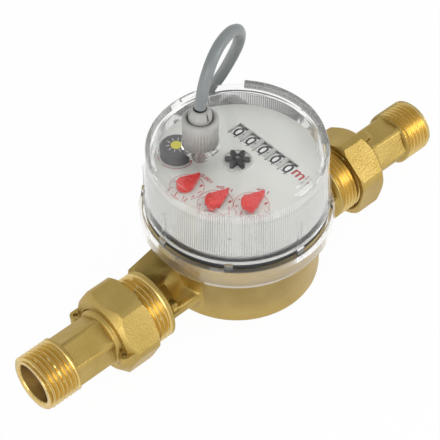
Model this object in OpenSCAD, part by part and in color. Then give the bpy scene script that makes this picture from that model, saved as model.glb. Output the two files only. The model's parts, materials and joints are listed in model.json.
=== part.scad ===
// Single-jet domestic water meter with threaded unions and a pulse sensor on a cable.
// Millimetres. X runs along the pipe from the inlet (-X) to the outlet (+X), Z is up, and the
// origin lies on the floor under the middle of the bowl. Heights in the sections below are
// counted from the pipe axis unless they say otherwise.

/* [Pipe run] */
// length of the brass body between its two end faces
body_len = 110; // [100:1:130]
// outside diameter of the body's end threads (G 3/4)
arm_thread_d = 26.44; // [25:0.02:27]
// length of the body's end threads
arm_thread_len = 13.2; // [11:0.1:15]
// outside diameter of the tailpiece threads (G 1/2)
tail_thread_d = 20.955; // [19:0.005:22]
// length of the tailpiece threads
tail_thread_len = 13.7; // [10:0.1:16]
// length of each tailpiece
tail_len = 38; // [34:0.5:50]
// width across the flats of the tailpiece shank
tail_af = 17.6; // [17:0.1:19]
// bore of the waterway
bore_d = 15; // [12:0.1:15.4]
// thickness of the flat washers
washer_t = 2; // [1:0.1:2.4]

/* [Union nuts] */
// wall of a nut between its bore and a flat
nut_wall = 1.7; // [1.2:0.1:3]
// length along the pipe
nut_len = 13; // [12:0.1:16]
// thickness of the inward lip that pulls on the tailpiece
nut_lip = 2.8; // [2:0.1:3.5]
// turn of the inlet nut about the pipe, 0 has a flat underneath
inlet_nut_turn = 115; // [0:1:180]
// turn of the outlet nut about the pipe, 30 has a corner underneath
outlet_nut_turn = 22; // [0:1:180]

/* [Bowl and cover] */
// outside diameter of the brass bowl
bowl_d = 61; // [60:0.5:64]
// depth of the bowl below the pipe axis
bowl_drop = 9; // [8.5:0.1:12]
// height of the top of the cover above the pipe axis
cover_top = 51; // [50:0.1:56]
// wall of the clear cover
cover_wall = 1.6; // [1.2:0.1:1.8]
// number of ribs that key the cover to the clamp ring
key_count = 8; // [4:1:10]
// height of the curved thumb lip on the cover
thumb_h = 2.2; // [1:0.1:4]

/* [Register] */
// height of the dial face above the pipe axis
dial_top = 42.5; // [42:0.1:43]
// radius of the number rollers
roller_r = 7; // [6:0.1:7.2]
// distance from one number roller to the next
roller_pitch = 6.25; // [5.5:0.05:6.3]
// length of a pointer from its arbor to its tip
pointer_len = 6; // [4.5:0.1:6]
// radius of the flow star
star_r = 4.5; // [3:0.1:5]
// lobes of the flow star
star_lobes = 6; // [4:1:9]
// radius of the pulse disc
disc_r = 5.9; // [4:0.1:6]

/* [Sensor and cable] */
// diameter of the knurled sensor head
head_d = 12.5; // [10:0.1:13]
// height of the knurled sensor head
head_h = 11; // [8:0.1:14]
// diameter of the cable
cable_d = 4.2; // [3.6:0.1:4.4]
// radius of the cable coil at the middle of its turns
coil_r = 23; // [21:0.5:25]

/* [Hidden] */
$fn = 96;

// pipe run, one side: body end, washer, tailpiece flange, collar, hex shank, thread
body_end = body_len / 2;
washer_end = body_end + washer_t;
tail_end = washer_end + tail_len;
bore_r = bore_d / 2;
arm_r = arm_thread_d / 2;
arm_thread_in = body_end - arm_thread_len;
tail_thread_r = tail_thread_d / 2;
nut_bore_r = arm_r + 0.08;
nut_af = 2 * (nut_bore_r + nut_wall);
tail_flange_t = 4;
tail_flange_r = nut_bore_r - 0.9;
tail_collar_len = 4.5;
tail_collar_r = tail_flange_r - 1.6;
tail_shank_in = washer_end + tail_flange_t + tail_collar_len;
tail_thread_in = tail_end - tail_thread_len;
nut_gap = 0.2;
nut_out = washer_end + tail_flange_t + nut_gap + nut_lip;
nut_in = nut_out - nut_len;
nut_hole_r = tail_collar_r + 0.4;
nut_corner_r = nut_af / 2 + 1.6;
ear_half = 2.2;
ear_t = 3.6;
ear_r = nut_hole_r + ear_half;

// lowest point of a hexagon with turned-down corners, for a nut turned by a from flat-down
nut_arc = 30 - acos(nut_af / 2 / nut_corner_r);
function nut_reach(a) =
    let (d = abs(a % 60 - 30))
    d <= nut_arc ? nut_corner_r : nut_corner_r * cos(d - nut_arc);
axis_z = max(nut_reach(inlet_nut_turn), nut_reach(outlet_nut_turn));

// gear train: each arbor's pinion drives an idler, each idler's pinion drives the next arbor
gear_m = 0.4;
gear_t = 1.1;
gear_share = 0.42;
tip_add = 0.75;
root_ded = 1.1;
arbor_r = 0.7;
arbor_fit = 0.06;
pinion_n = 8;
idler_n = 32;
idler_pinion_n = 12;
wheel_n = 30;
first_idler_n = 64;
// the dial's arbors stand a few modules nearer than the first pair of meshes can reach
train_bend = 3.5;
train_n = pinion_n + first_idler_n + idler_pinion_n + wheel_n;
dial_pivot_r = (train_n / 2 - train_bend) * gear_m;

// row of number rollers, its carry shaft beside it and its brackets, in plan
roller_count = 5;
roller_x = 11.3;
roller_mid_y = -1.2;
roller_span = roller_pitch * roller_count;
carry_r = 1.2;
carry_reach = roller_r + carry_r + 0.3;
carry_x = roller_x + carry_reach * cos(15);
bracket_t = 1.2;
bracket_y = roller_span / 2 + 0.5;
bracket_far = norm([carry_x + 1, abs(roller_mid_y) + bracket_y + bracket_t]);

// register case, as wide as its wheels and its brackets need
case_in_r = max(dial_pivot_r + (wheel_n / 2 + tip_add) * gear_m, bracket_far) + 0.5;
case_wall = 1;
case_r = case_in_r + case_wall;

// bowl, rim and everything stacked in it, heights from the pipe axis
bowl_r = bowl_d / 2;
bowl_round = 3;
rim_r = max(bowl_r + 2.1, case_r + 3.4);
rim_low = 14.3;
rim_top = 21.5;
well_r = bowl_r - 3.1;
chamber_r = bowl_r - 5.5;
chamber_floor = 3 - bowl_drop;
chamber_top = 9;
plate_r = well_r - 0.3;
plate_top = 12.3;
seal_r = 0.85;
pin_r = 1;
pin_seat = 1.8;
magnet_r = 6;
magnet_h = 2.8;
wheel_gap = 1.5;
impeller_r = chamber_r - 3.5;
blade_count = 7;
hub_r = 4;
hub_h = 9;
neck_r = bore_r + 1.9;
neck_len = 4.5;
sieve_len = 9.5;
sieve_r = 5.4;
nozzle_r = 4;
nozzle_turn = 25;
duct_in = arm_thread_in - 0.3;
hood_top = 12.5;
web_low = 1.2;
web_top = 3.6;
web_y = 11.75;
arm_root = 20;
eye_r = 1.5;
eye_h = 2.3;
eye_x = 2.8 - arm_thread_in;
eye_y = -9;

// clamp ring, gasket and cover
ring_in_r = rim_r + 0.3;
ring_r = ring_in_r + 2.1;
ring_low = rim_low - 1.3;
ring_flare = 4;
ring_web = rim_top;
ring_bead = 2.5;
ring_top = ring_web + ring_bead;
ring_bevel = 1.2;
tab_t = 0.8;
tab_w = 3;
tab_h = 3.4;
web_r = case_r + 0.3;
gasket_t = 1.6;
cover_low = ring_top + gasket_t;
cover_r = rim_r + 0.4;
cover_top_r = cover_r - 1.1;
cover_round = 1.5;
cover_lid = 2;
key_step = 360 / key_count;
key_turn = 42;

// register housing
case_low_r = min(well_r - 0.5, case_r - 2.3);
case_step = rim_top + 1.1;
case_floor = plate_top + 1.5;
dial_t = 2.1;
dial_low = dial_top - dial_t;
dial_r = case_r + 0.1;
dial_skin = 0.8;
window_x = 6.2;
window_y = 4.8;
flange_r = 3;
flange_h = 0.6;
flange_low = 1.3;
deck_low = 26.3;
deck_top = 27.5;
deck_r = case_in_r - 0.5;

// places of the wheels: heights first, then the arbors and idlers in plan
level_0 = 24.3;
level_step = 1.75;
function level(i) = deck_top + 0.7 + level_step * i;
// arbors in the order they are driven: pulse disc, x0.001, x0.01, x0.1
arbor_a = [129, 172.7, 206.3, 239.5];
function polar(r, a) = [r * cos(a), r * sin(a)];
function arbor_at(i) = polar(dial_pivot_r, arbor_a[i]);
function bearing(p, q) = atan2(q[1] - p[1], q[0] - p[0]);
// the idler stands where both of its meshes close, on the left or right of the line p to q
function idler_at(p, q, r1, r2, side) =
    let (d = norm(q - p), x = (d * d + r1 * r1 - r2 * r2) / (2 * d))
    let (h = side * sqrt(r1 * r1 - x * x), u = (q - p) / d)
    p + x * u + h * [-u[1], u[0]];
first_mesh = (pinion_n + first_idler_n) / 2 * gear_m;
fast_mesh = (pinion_n + idler_n) / 2 * gear_m;
slow_mesh = (idler_pinion_n + wheel_n) / 2 * gear_m;
idler_p = [
    idler_at([0, 0], arbor_at(0), first_mesh, slow_mesh, -1),
    idler_at(arbor_at(0), arbor_at(1), fast_mesh, slow_mesh, 1),
    idler_at(arbor_at(1), arbor_at(2), fast_mesh, slow_mesh, 1),
    idler_at(arbor_at(2), arbor_at(3), fast_mesh, slow_mesh, 1)
];
// turn of a gear of n2 teeth at bearing b from a gear of n1 teeth that has a tooth at angle a
function mesh_turn(a, n1, n2, b) = b + 180 - (a - b) * n1 / n2 + 180 / n2;

// number rollers under the dial
roller_w = roller_pitch - 0.4;
roller_z = dial_low + dial_t - dial_skin - 0.2 - roller_r;
roller_shaft_r = 0.9;
function roller_y(i) = roller_mid_y + roller_pitch * ((roller_count - 1) / 2 - i);
carry_z = roller_z - carry_reach * sin(15);

// sensor on the cover
sensor_p = [-11.1, 6.7];
socket_r = 3.9;
socket_low = 45.9;
socket_hole_r = 2.5;
core_r = 2.3;
cup_r = 6.6;
cup_low = cover_top + 0.5;
cup_floor = cup_low + 1;
cup_top = cover_top + 4.2;
head_r = head_d / 2;
head_top = cup_top + head_h;
collet_r = head_r - 2.2;
collet_top = head_top + 4;
cable_r = cable_d / 2;
core_top = head_top - 3;

// cable: out of the collet, over in a loop, down behind the cover, into the coil on the floor
coil_at = [43, 48.5];
coil_wide = 3 * cable_d;
coil_high = 2 * cable_d;
coil_low = 1;
cable_route = [
    [sensor_p[0], sensor_p[1], core_top], [sensor_p[0], sensor_p[1], collet_top + 0.5],
    [-10.7, 6.4, 74.5], [-9.9, 6, 80], [-8.1, 6, 85], [-4.8, 7, 88.6], [0.3, 9, 90.3],
    [6.4, 11.2, 90], [11.4, 13, 87.4], [14.6, 15, 83.2], [16.3, 16.8, 78.5], [17.7, 19.6, 72],
    [18.4, 23.8, 62.8], [18, 27.5, 54.4], [17, 30.5, 47.6], [16.5, 32.8, 40], [16, 34.8, 32],
    [16, 36.6, 24], [15.7, 38.8, 15], [15, 41.5, 7], [14.3, 45.3, 0.6], [14.2, 50, -4.8],
    [15.6, 55.2, -8.4], [19.44, 62.1, coil_low + coil_high - cable_r - axis_z]
];
cable_sides = 10;
tie_t = 0.8;
tie_w = 4;
tie_a = 250;
wire_r = 0.65;
tip_r = 0.4;
wire_len = 16;
tip_len = 6;

// points of an arc of radius r about c, for profiles
function arc(c, r, a0, a1, n = 6) =
    [for (i = [0:n]) c + polar(r, a0 + (a1 - a0) * i / n)];

// half the angle that an involute tooth covers at radius q
function invol(a) = tan(a) * 180 / PI - a;
function tooth_half(n, q, rb) =
    gear_share * 180 / n + invol(20) - (q > rb ? invol(acos(rb / q)) : 0);
function gear_outline(n) =
    let (rp = n * gear_m / 2, rb = rp * cos(20))
    let (rr = rp - root_ded * gear_m, rt = rp + tip_add * gear_m)
    let (qs = [rr, max(rb, rr + 0.01), rp, (rp + rt) / 2, rt])
    [for (k = [0:n - 1]) let (a = k * 360 / n)
        each concat(
            [for (q = qs) polar(q, a - tooth_half(n, q, rb))],
            [for (j = [4:-1:0]) polar(qs[j], a + tooth_half(n, qs[j], rb))])];

// sections across the cable: unit vectors along the route and a frame that stays upright to it
route_n = len(cable_route);
function unit(v) = v / norm(v);
function route_dir(i) =
    unit(cable_route[min(i + 1, route_n - 1)] - cable_route[max(i - 1, 0)]);
route_side = [-0.734, 0.679, 0];
function ring_at(i) =
    let (t = route_dir(i), u = unit(route_side - (route_side * t) * t), v = cross(t, u))
    [for (k = [0:cable_sides - 1]) let (a = 360 * k / cable_sides)
        cable_route[i] + cable_r * (cos(a) * u + sin(a) * v)];
cable_points = [for (i = [0:route_n - 1]) each ring_at(i)];
cable_faces = concat(
    [[for (k = [cable_sides - 1:-1:0]) k]],
    [[for (k = [0:cable_sides - 1]) (route_n - 1) * cable_sides + k]],
    [for (i = [0:route_n - 2], k = [0:cable_sides - 1])
        [i * cable_sides + k, i * cable_sides + (k + 1) % cable_sides,
            (i + 1) * cable_sides + (k + 1) % cable_sides, (i + 1) * cable_sides + k]]);

brass_c = [0.72, 0.6, 0.3];
steel_c = [0.7, 0.71, 0.72];
clear_c = [0.85, 0.88, 0.88, 0.35];
white_c = [0.92, 0.92, 0.9];
black_c = [0.08, 0.08, 0.08];
red_c = [0.78, 0.12, 0.12];
grey_c = [0.62, 0.62, 0.6];
magnet_c = [0.25, 0.25, 0.27];
gear_c = [0.9, 0.88, 0.8];
fibre_c = [0.35, 0.33, 0.3];

module at_axis() translate([0, 0, axis_z]) children();
// turns a child built along Z to lie along the pipe, starting at x
module along(x) translate([x, 0, axis_z]) rotate([0, 90, 0]) children();
// one end of the pipe run: the outlet as built, the inlet turned half round
module pipe_end(inlet) rotate([0, 0, inlet ? 180 : 0]) children();
module turned(points) rotate_extrude() polygon(points);
module tube(r_out, r_in, h) difference() {
    cylinder(r = r_out, h = h);
    translate([0, 0, -1]) cylinder(r = r_in, h = h + 2);
}
module hexagon(af) circle(r = af / 2 / cos(30), $fn = 6);
module at_point(p, z) translate([p[0], p[1], axis_z + z]) children();
module gear(n, z, turn) translate([0, 0, z]) rotate([0, 0, turn])
    linear_extrude(height = gear_t) polygon(gear_outline(n));
module arbor(z0, z1) translate([0, 0, z0]) cylinder(r = arbor_r, h = z1 - z0);

// Brass casting

// section of an arm between the neck and the bowl, in Y and Z: a hood over a level web
arm_section = [
    [-web_y, web_low], [-web_y, web_top], [-5, web_top + 1], [-0.5, hood_top], [10.75, hood_top],
    [web_y, web_top], [web_y, web_low], [10.5, -1.5], [8.5, -4.5], [5.5, 0.4 - bowl_drop],
    [-5.5, 0.4 - bowl_drop], [-7, -2]
];
// side of an arm in X and Z, for the side s: the hood rises from the neck to the clamp ring
function arm_side(s) = [
    [s * arm_root, -bowl_drop], [s * (arm_thread_in + 0.5), -bowl_drop],
    [s * (arm_thread_in + 0.5), neck_r - 0.4], [s * (bowl_r + 1.2), hood_top],
    [s * arm_root, hood_top]
];
module arm(s) {
    intersection() {
        rotate([90, 0, 90 * s]) translate([0, 0, arm_root])
            linear_extrude(height = arm_thread_in + 0.5 - arm_root)
                polygon([for (p = arm_section) [s * p[0], p[1]]]);
        translate([0, web_y + 1, 0]) rotate([90, 0, 0])
            linear_extrude(height = 2 * web_y + 2) polygon(arm_side(s));
    }
    // fillet between the web and the bowl
    intersection() {
        turned([[bowl_r - 1, web_top - 0.2], [bowl_r + 1.3, web_top - 0.2], [bowl_r - 1, web_top + 2]]);
        translate([s > 0 ? arm_root : -2 * arm_root, -web_y, 0]) cube([arm_root, 2 * web_y, hood_top]);
    }
    rotate([0, 90 * s, 0]) {
        translate([0, 0, arm_thread_in - neck_len]) cylinder(r = neck_r, h = neck_len + 0.5);
        turned([[0, arm_thread_in - 1.2], [arm_r - 1.6, arm_thread_in - 1.2],
            [arm_r, arm_thread_in], [arm_r, body_end - 1.2],
            [arm_r - 1.2, body_end], [0, body_end]]);
    }
}
module arm_duct(s) {
    rotate([0, 90 * s, 0])
        turned([[0, duct_in - 3.5], [nozzle_r, duct_in - 3.5], [bore_r, duct_in],
            [bore_r, body_end + 1], [0, body_end + 1]]);
    translate([s * duct_in, -1, 0]) rotate([0, -90 * s, -s * nozzle_turn])
        cylinder(r = nozzle_r, h = duct_in - chamber_r + 10);
}
module body() color(brass_c) at_axis() difference() {
    union() {
        turned(concat([[0, -bowl_drop]],
            arc([bowl_r - bowl_round, bowl_round - bowl_drop], bowl_round, -90, 0),
            [[bowl_r, rim_low], [rim_r - 0.6, rim_low], [rim_r, rim_low + 0.6],
                [rim_r, rim_top - 0.6], [rim_r - 0.6, rim_top], [0, rim_top]]));
        arm(-1);
        arm(1);
        // boss beside the inlet for a sealing wire
        translate([eye_x, eye_y, web_top - 0.6]) cylinder(r = eye_r, h = eye_h + 0.6);
    }
    arm_duct(-1);
    arm_duct(1);
    turned([[0, chamber_floor], [chamber_r, chamber_floor], [chamber_r, chamber_top],
        [well_r, chamber_top], [well_r, rim_top - 0.5], [well_r + 0.6, rim_top + 0.1],
        [0, rim_top + 0.1]]);
    translate([0, 0, chamber_floor - 1.6]) cylinder(r = pin_r + 0.02, h = 3);
    // wire hole through the boss
    translate([eye_x, eye_y + eye_r + 1, web_top + eye_h / 2]) rotate([90, 0, 0])
        cylinder(r = 0.5, h = 2 * eye_r + 2);
}

// Wet side

module inlet_strainer() color(white_c) pipe_end(true) along(body_end - sieve_len) difference() {
    turned([[0, 0], [sieve_r, 0], [bore_r - 0.4, sieve_len - 1.5],
        [bore_r - 0.03, sieve_len - 1.5], [bore_r - 0.03, sieve_len], [bore_r - 1.6, sieve_len],
        [bore_r - 1.6, sieve_len - 1.3], [sieve_r - 1, 1], [0, 1]]);
    for (a = [0:60:300]) rotate([0, 0, a]) translate([2.9, 0, -1]) cylinder(r = 1.1, h = 3);
    translate([0, 0, -1]) cylinder(r = 1.1, h = 3);
}
module impeller_pivot() color(steel_c) at_axis() translate([0, 0, chamber_floor - 1.6])
    cylinder(r = pin_r, h = 5.2);
module impeller() color(white_c) at_axis() translate([0, 0, chamber_floor + wheel_gap]) {
    // hub with the magnet's seat, the stem through the magnet and the upper pin
    turned([[pin_r + arbor_fit, 0], [hub_r, 0], [hub_r, hub_h], [2.2, hub_h], [2.2, hub_h + 3],
        [pin_r, hub_h + 3], [pin_r, hub_h + 5.9], [0, hub_h + 5.9], [0, 2.6],
        [pin_r + arbor_fit, 2.6]]);
    for (k = [0:blade_count - 1]) rotate([0, 0, k * 360 / blade_count])
        translate([hub_r - 0.6, -0.6, 0.4]) cube([impeller_r - hub_r + 0.6, 1.2, hub_h - 0.8]);
}
module drive_magnet() color(magnet_c) at_axis()
    translate([0, 0, chamber_floor + wheel_gap + hub_h]) tube(magnet_r, 2.25, magnet_h);
module separator_plate() color(white_c) at_axis() difference() {
    turned([[0, chamber_top], [plate_r - 1.5, chamber_top], [plate_r - 1.5, chamber_top + 2],
        [plate_r, chamber_top + 2], [plate_r, plate_top], [0, plate_top]]);
    translate([0, 0, chamber_top - 1]) cylinder(r = pin_r + arbor_fit, h = pin_seat + 1);
}
module body_seal() color(black_c) at_axis() rotate_extrude()
    translate([well_r - seal_r - 0.05, chamber_top + seal_r + 0.05]) circle(r = seal_r, $fn = 32);

// Register case, gear deck and dial

module register_case() color(white_c) at_axis() {
    difference() {
        turned([[0, plate_top], [case_low_r, plate_top], [case_low_r, case_step],
            [case_r, case_step], [case_r, dial_low], [case_r - case_wall, dial_low],
            [case_r - case_wall, case_step + 1], [case_low_r - case_wall, case_step + 1],
            [case_low_r - case_wall, case_floor], [2.5, case_floor], [2.5, case_floor + 1],
            [0, case_floor + 1]]);
        translate([0, 0, case_floor - 0.6]) cylinder(r = 0.86, h = 3);
    }
    // post for the first idler and the pillars under the deck
    translate([idler_p[0][0], idler_p[0][1], 0]) difference() {
        translate([0, 0, case_floor - 0.5]) cylinder(r = 1.8, h = level_0 - 0.1 - case_floor);
        translate([0, 0, level_0 - 2.6]) cylinder(r = arbor_r + arbor_fit, h = 3);
    }
    for (a = [45, 165, 225, 315]) rotate([0, 0, a])
        translate([case_low_r - 0.3, 0, case_step + 0.4])
            cylinder(r = 1.2, h = deck_low - case_step - 0.4);
}
module bracket_side() difference() {
    rotate([90, 0, 0]) linear_extrude(height = bracket_t)
        polygon([[roller_x - 2, deck_top], [carry_x + 1, deck_top], [carry_x + 1, carry_z + 2],
            [roller_x + 2, roller_z + 2], [roller_x - 2, roller_z + 2]]);
    translate([roller_x, 1, roller_z]) rotate([90, 0, 0])
        cylinder(r = roller_shaft_r + 0.02, h = bracket_t + 2);
    translate([carry_x, 1, carry_z]) rotate([90, 0, 0])
        cylinder(r = arbor_r + 0.02, h = bracket_t + 2);
}
module gear_deck() color(white_c) at_axis() {
    difference() {
        translate([0, 0, deck_low]) cylinder(r = deck_r, h = deck_top - deck_low);
        translate([0, 0, deck_low - 1]) cylinder(r = 0.86, h = 4);
        translate([idler_p[0][0], idler_p[0][1], deck_low - 1])
            cylinder(r = arbor_r + arbor_fit, h = 4);
        for (i = [1:3]) translate([idler_p[i][0], idler_p[i][1], deck_top - 0.8])
            cylinder(r = arbor_r + arbor_fit, h = 2);
        for (i = [0:3]) translate([arbor_at(i)[0], arbor_at(i)[1], deck_top - 0.8])
            cylinder(r = arbor_r + arbor_fit, h = 2);
        translate([roller_x - 5, roller_mid_y - roller_span / 2, deck_low - 1])
            cube([10, roller_span, 4]);
    }
    translate([0, roller_mid_y + bracket_y + bracket_t, 0]) bracket_side();
    translate([0, roller_mid_y - bracket_y, 0]) bracket_side();
}
module dial_plate() color(white_c) at_axis() {
    difference() {
        translate([0, 0, dial_low]) cylinder(r = dial_r, h = dial_t);
        // pocket over the rollers and one window for each
        translate([roller_x - 5.6, roller_mid_y - bracket_y - bracket_t, dial_low - 1])
            cube([11.2, roller_span + 3.4, dial_t - dial_skin + 1]);
        for (i = [0:roller_count - 1])
            translate([roller_x - window_x / 2, roller_y(i) - window_y / 2, dial_low])
            cube([window_x, window_y, dial_t + 1]);
        for (i = [0:3]) translate([arbor_at(i)[0], arbor_at(i)[1], dial_low - 1])
            cylinder(r = arbor_r + arbor_fit, h = dial_t + 2);
        for (i = [0:3]) translate([idler_p[i][0], idler_p[i][1], dial_low - 1])
            cylinder(r = arbor_r + arbor_fit, h = 1.9);
        translate([0, 0, dial_low - 1]) cylinder(r = 1.1, h = dial_t + 2);
    }
    // raised rim round the flow star
    translate([0, 0, dial_top - 0.1]) tube(star_r + 1.3, star_r + 0.7, 0.6);
}

// Flow star and gear train

module star_spindle() color(steel_c) at_axis() {
    translate([0, 0, case_floor - 0.5]) cylinder(r = 0.8, h = dial_top + 2.1 - case_floor + 0.5);
    translate([0, 0, case_floor + flange_low]) cylinder(r = flange_r, h = flange_h);
    gear(pinion_n, level_0, 0);
}
module follower_magnet() color(magnet_c) at_axis() translate([0, 0, case_floor + flange_low + flange_h])
    tube(magnet_r, 0.83, magnet_h);
module flow_star() color(black_c) at_axis() translate([0, 0, dial_top + 0.4]) difference() {
    union() {
        cylinder(r1 = star_r * 0.52, r2 = star_r * 0.3, h = 2.2);
        for (k = [0:star_lobes - 1]) rotate([0, 0, k * 360 / star_lobes + 15]) {
            translate([0, -0.85, 0]) cube([star_r - 0.85, 1.7, 1.3]);
            translate([star_r - 0.85, 0, 0]) cylinder(r = 0.85, h = 1.3);
        }
    }
    translate([0, 0, -1]) cylinder(r = 0.83, h = 4);
}
module idler_0() color(gear_c) at_point(idler_p[0], 0) {
    arbor(level_0 - 2.4, dial_low + 0.7);
    gear(first_idler_n, level_0,
        mesh_turn(0, pinion_n, first_idler_n, bearing([0, 0], idler_p[0])));
    gear(idler_pinion_n, level(0), 0);
}
module idler(i) color(gear_c) at_point(idler_p[i], 0) {
    arbor(deck_top - 0.6, dial_low + 0.7);
    gear(idler_n, level(2 * i - 1),
        mesh_turn(0, pinion_n, idler_n, bearing(arbor_at(i - 1), idler_p[i])));
    gear(idler_pinion_n, level(2 * i), 0);
}
module idler_1() idler(1);
module idler_2() idler(2);
module idler_3() idler(3);
module dial_arbor(i) color(gear_c) at_point(arbor_at(i), 0) {
    arbor(deck_top - 0.6, dial_top + 2.4);
    gear(wheel_n, level(2 * i),
        mesh_turn(0, idler_pinion_n, wheel_n, bearing(idler_p[i], arbor_at(i))));
    if (i < 3) gear(pinion_n, level(2 * i + 1), 0);
}
module disc_wheel() dial_arbor(0);
module wheel_1() dial_arbor(1);
module wheel_2() dial_arbor(2);
module wheel_3() dial_arbor(3);
module pulse_disc() color(grey_c) at_point(arbor_at(0), dial_top + 0.5) difference() {
    turned([[0, 0], [disc_r, 0], [disc_r, 3.9], [disc_r - 0.7, 4.5], [1.6, 4.5],
        [1.6, 3.6], [0, 3.6]]);
    translate([0, 0, -1]) cylinder(r = arbor_r + 0.02, h = 3);
    rotate([0, 0, 240]) translate([3.4, 0, -1]) cylinder(r = 1.5, h = 3.2);
}
module pulse_magnet() color(magnet_c) at_point(arbor_at(0), dial_top + 0.7)
    rotate([0, 0, 240]) translate([3.4, 0, 0]) cylinder(r = 1.47, h = 2);
module pointer(i) color(red_c) at_point(arbor_at(i), dial_top + 0.7) difference() {
    union() {
        translate([-0.8, 0, 0]) cylinder(r = 3, h = 2);
        linear_extrude(height = 2)
            polygon([[0.7, -2.6], [pointer_len, -0.35], [pointer_len, 0.35], [0.7, 2.6]]);
    }
    translate([0, 0, -1]) cylinder(r = arbor_r + 0.02, h = 4);
}
module pointer_1() pointer(1);
module pointer_2() pointer(2);
module pointer_3() pointer(3);

// Number rollers

module roller(i) color(white_c) at_axis()
    translate([roller_x, roller_y(i) + roller_w / 2, roller_z]) rotate([90, 0, 0]) difference() {
        turned([[roller_shaft_r + arbor_fit, 0], [2, 0], [2, 0.7], [roller_r - 1.2, 0.7],
            [roller_r - 1.2, 0], [roller_r - 0.2, 0], [roller_r, 0.2], [roller_r, roller_w - 0.2],
            [roller_r - 0.2, roller_w], [roller_shaft_r + arbor_fit, roller_w]]);
        // drive notches in the flank that faces the next roller
        for (a = [0:36:324]) rotate([0, 0, a])
            translate([roller_r - 2.4, -0.5, roller_w - 0.9]) cube([1.2, 1, 1]);
    }
module roller_1() roller(0);
module roller_2() roller(1);
module roller_3() roller(2);
module roller_4() roller(3);
module roller_5() roller(4);
module cross_shaft(x, z, r) at_axis()
    translate([x, roller_mid_y + bracket_y + bracket_t + 0.3, z]) rotate([90, 0, 0])
        cylinder(r = r, h = 2 * (bracket_y + bracket_t) + 0.6);
module roller_shaft() color(steel_c) cross_shaft(roller_x, roller_z, roller_shaft_r);
module carry_shaft() color(steel_c) cross_shaft(carry_x, carry_z, arbor_r);
module carry_pinions() color(gear_c) at_axis() for (i = [0:roller_count - 2])
    translate([carry_x, roller_y(i) - roller_pitch / 2 + 2, carry_z]) rotate([90, 0, 0])
        difference() {
            cylinder(r = carry_r, h = 4, $fn = 8);
            translate([0, 0, -1]) cylinder(r = arbor_r + 0.04, h = 6);
        }

// Clear cover, its ring and gasket

module cover() color(clear_c) at_axis() difference() {
    union() {
        turned(concat([[0, cover_low], [cover_r, cover_low], [cover_r, cover_low + 1.8]],
            arc([cover_top_r - cover_round, cover_top - cover_round], cover_round, 0, 90),
            [[cover_top_r - 4, cover_top], [cover_top_r - 4.6, cover_top - 0.6],
                [0, cover_top - 0.6]]));
        // outer keys over the clamp ring's tabs
        for (a = [0:key_step:359]) rotate([0, 0, a + key_turn])
            translate([cover_r - 2, -0.8, cover_low + 1]) cube([2.3, 1.6, 12]);
        // curved thumb lip and the two small lugs on the rim
        translate([0, 0, cover_top - 0.2]) rotate([0, 0, -42])
            rotate_extrude(angle = 84) translate([cover_top_r - 3.1, 0]) square([1.8, thumb_h + 0.2]);
        for (a = [78, 270]) translate([0, 0, cover_top - 0.2]) rotate([0, 0, a])
            rotate_extrude(angle = 12) translate([cover_top_r - 3.1, 0]) square([1.4, 1.2]);
        // sensor socket with its cup
        translate([sensor_p[0], sensor_p[1], 0])
            turned([[0, socket_low], [socket_r, socket_low], [socket_r, cover_top - 1],
                [cup_r, cup_low + 1.4], [cup_r, cup_top], [0, cup_top]]);
    }
    difference() {
        turned([[0, cover_low - 1], [cover_r - cover_wall, cover_low - 1],
            [cover_r - cover_wall, cover_low + 1.8],
            [cover_top_r - cover_wall, cover_top - cover_lid - 1],
            [cover_top_r - cover_wall - 1, cover_top - cover_lid], [0, cover_top - cover_lid]]);
        translate([sensor_p[0], sensor_p[1], socket_low])
            cylinder(r = socket_r, h = cup_top - socket_low);
    }
    translate([sensor_p[0], sensor_p[1], socket_low + 0.8])
        cylinder(r = socket_hole_r, h = cup_top - socket_low);
    translate([sensor_p[0], sensor_p[1], cup_floor]) cylinder(r = head_r - 0.9, h = head_h);
}
module clamp_ring() color(clear_c) at_axis() {
    turned([[bowl_r + 0.5, ring_low], [bowl_r + 1.2, ring_low], [ring_r - 1.2, ring_low + 1.4],
        [ring_r, ring_low + ring_flare], [ring_r, ring_web],
        [ring_r - ring_bevel / 2, ring_top - ring_bevel], [ring_r - ring_bevel, ring_top],
        [web_r, ring_top], [web_r, ring_web], [ring_in_r, ring_web],
        [ring_in_r, rim_low - 0.2], [bowl_r + 0.5, rim_low - 0.2]]);
    // tabs that reach up past the gasket
    for (a = [0:key_step:359]) rotate([0, 0, a + key_turn])
        translate([cover_r + 0.4, -tab_w / 2, ring_top - 1]) cube([tab_t, tab_w, tab_h]);
}
module cover_gasket() color(black_c) at_axis()
    translate([0, 0, ring_top]) tube(cover_r + 0.1, web_r + 0.6, gasket_t);

// Pulse sensor

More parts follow.
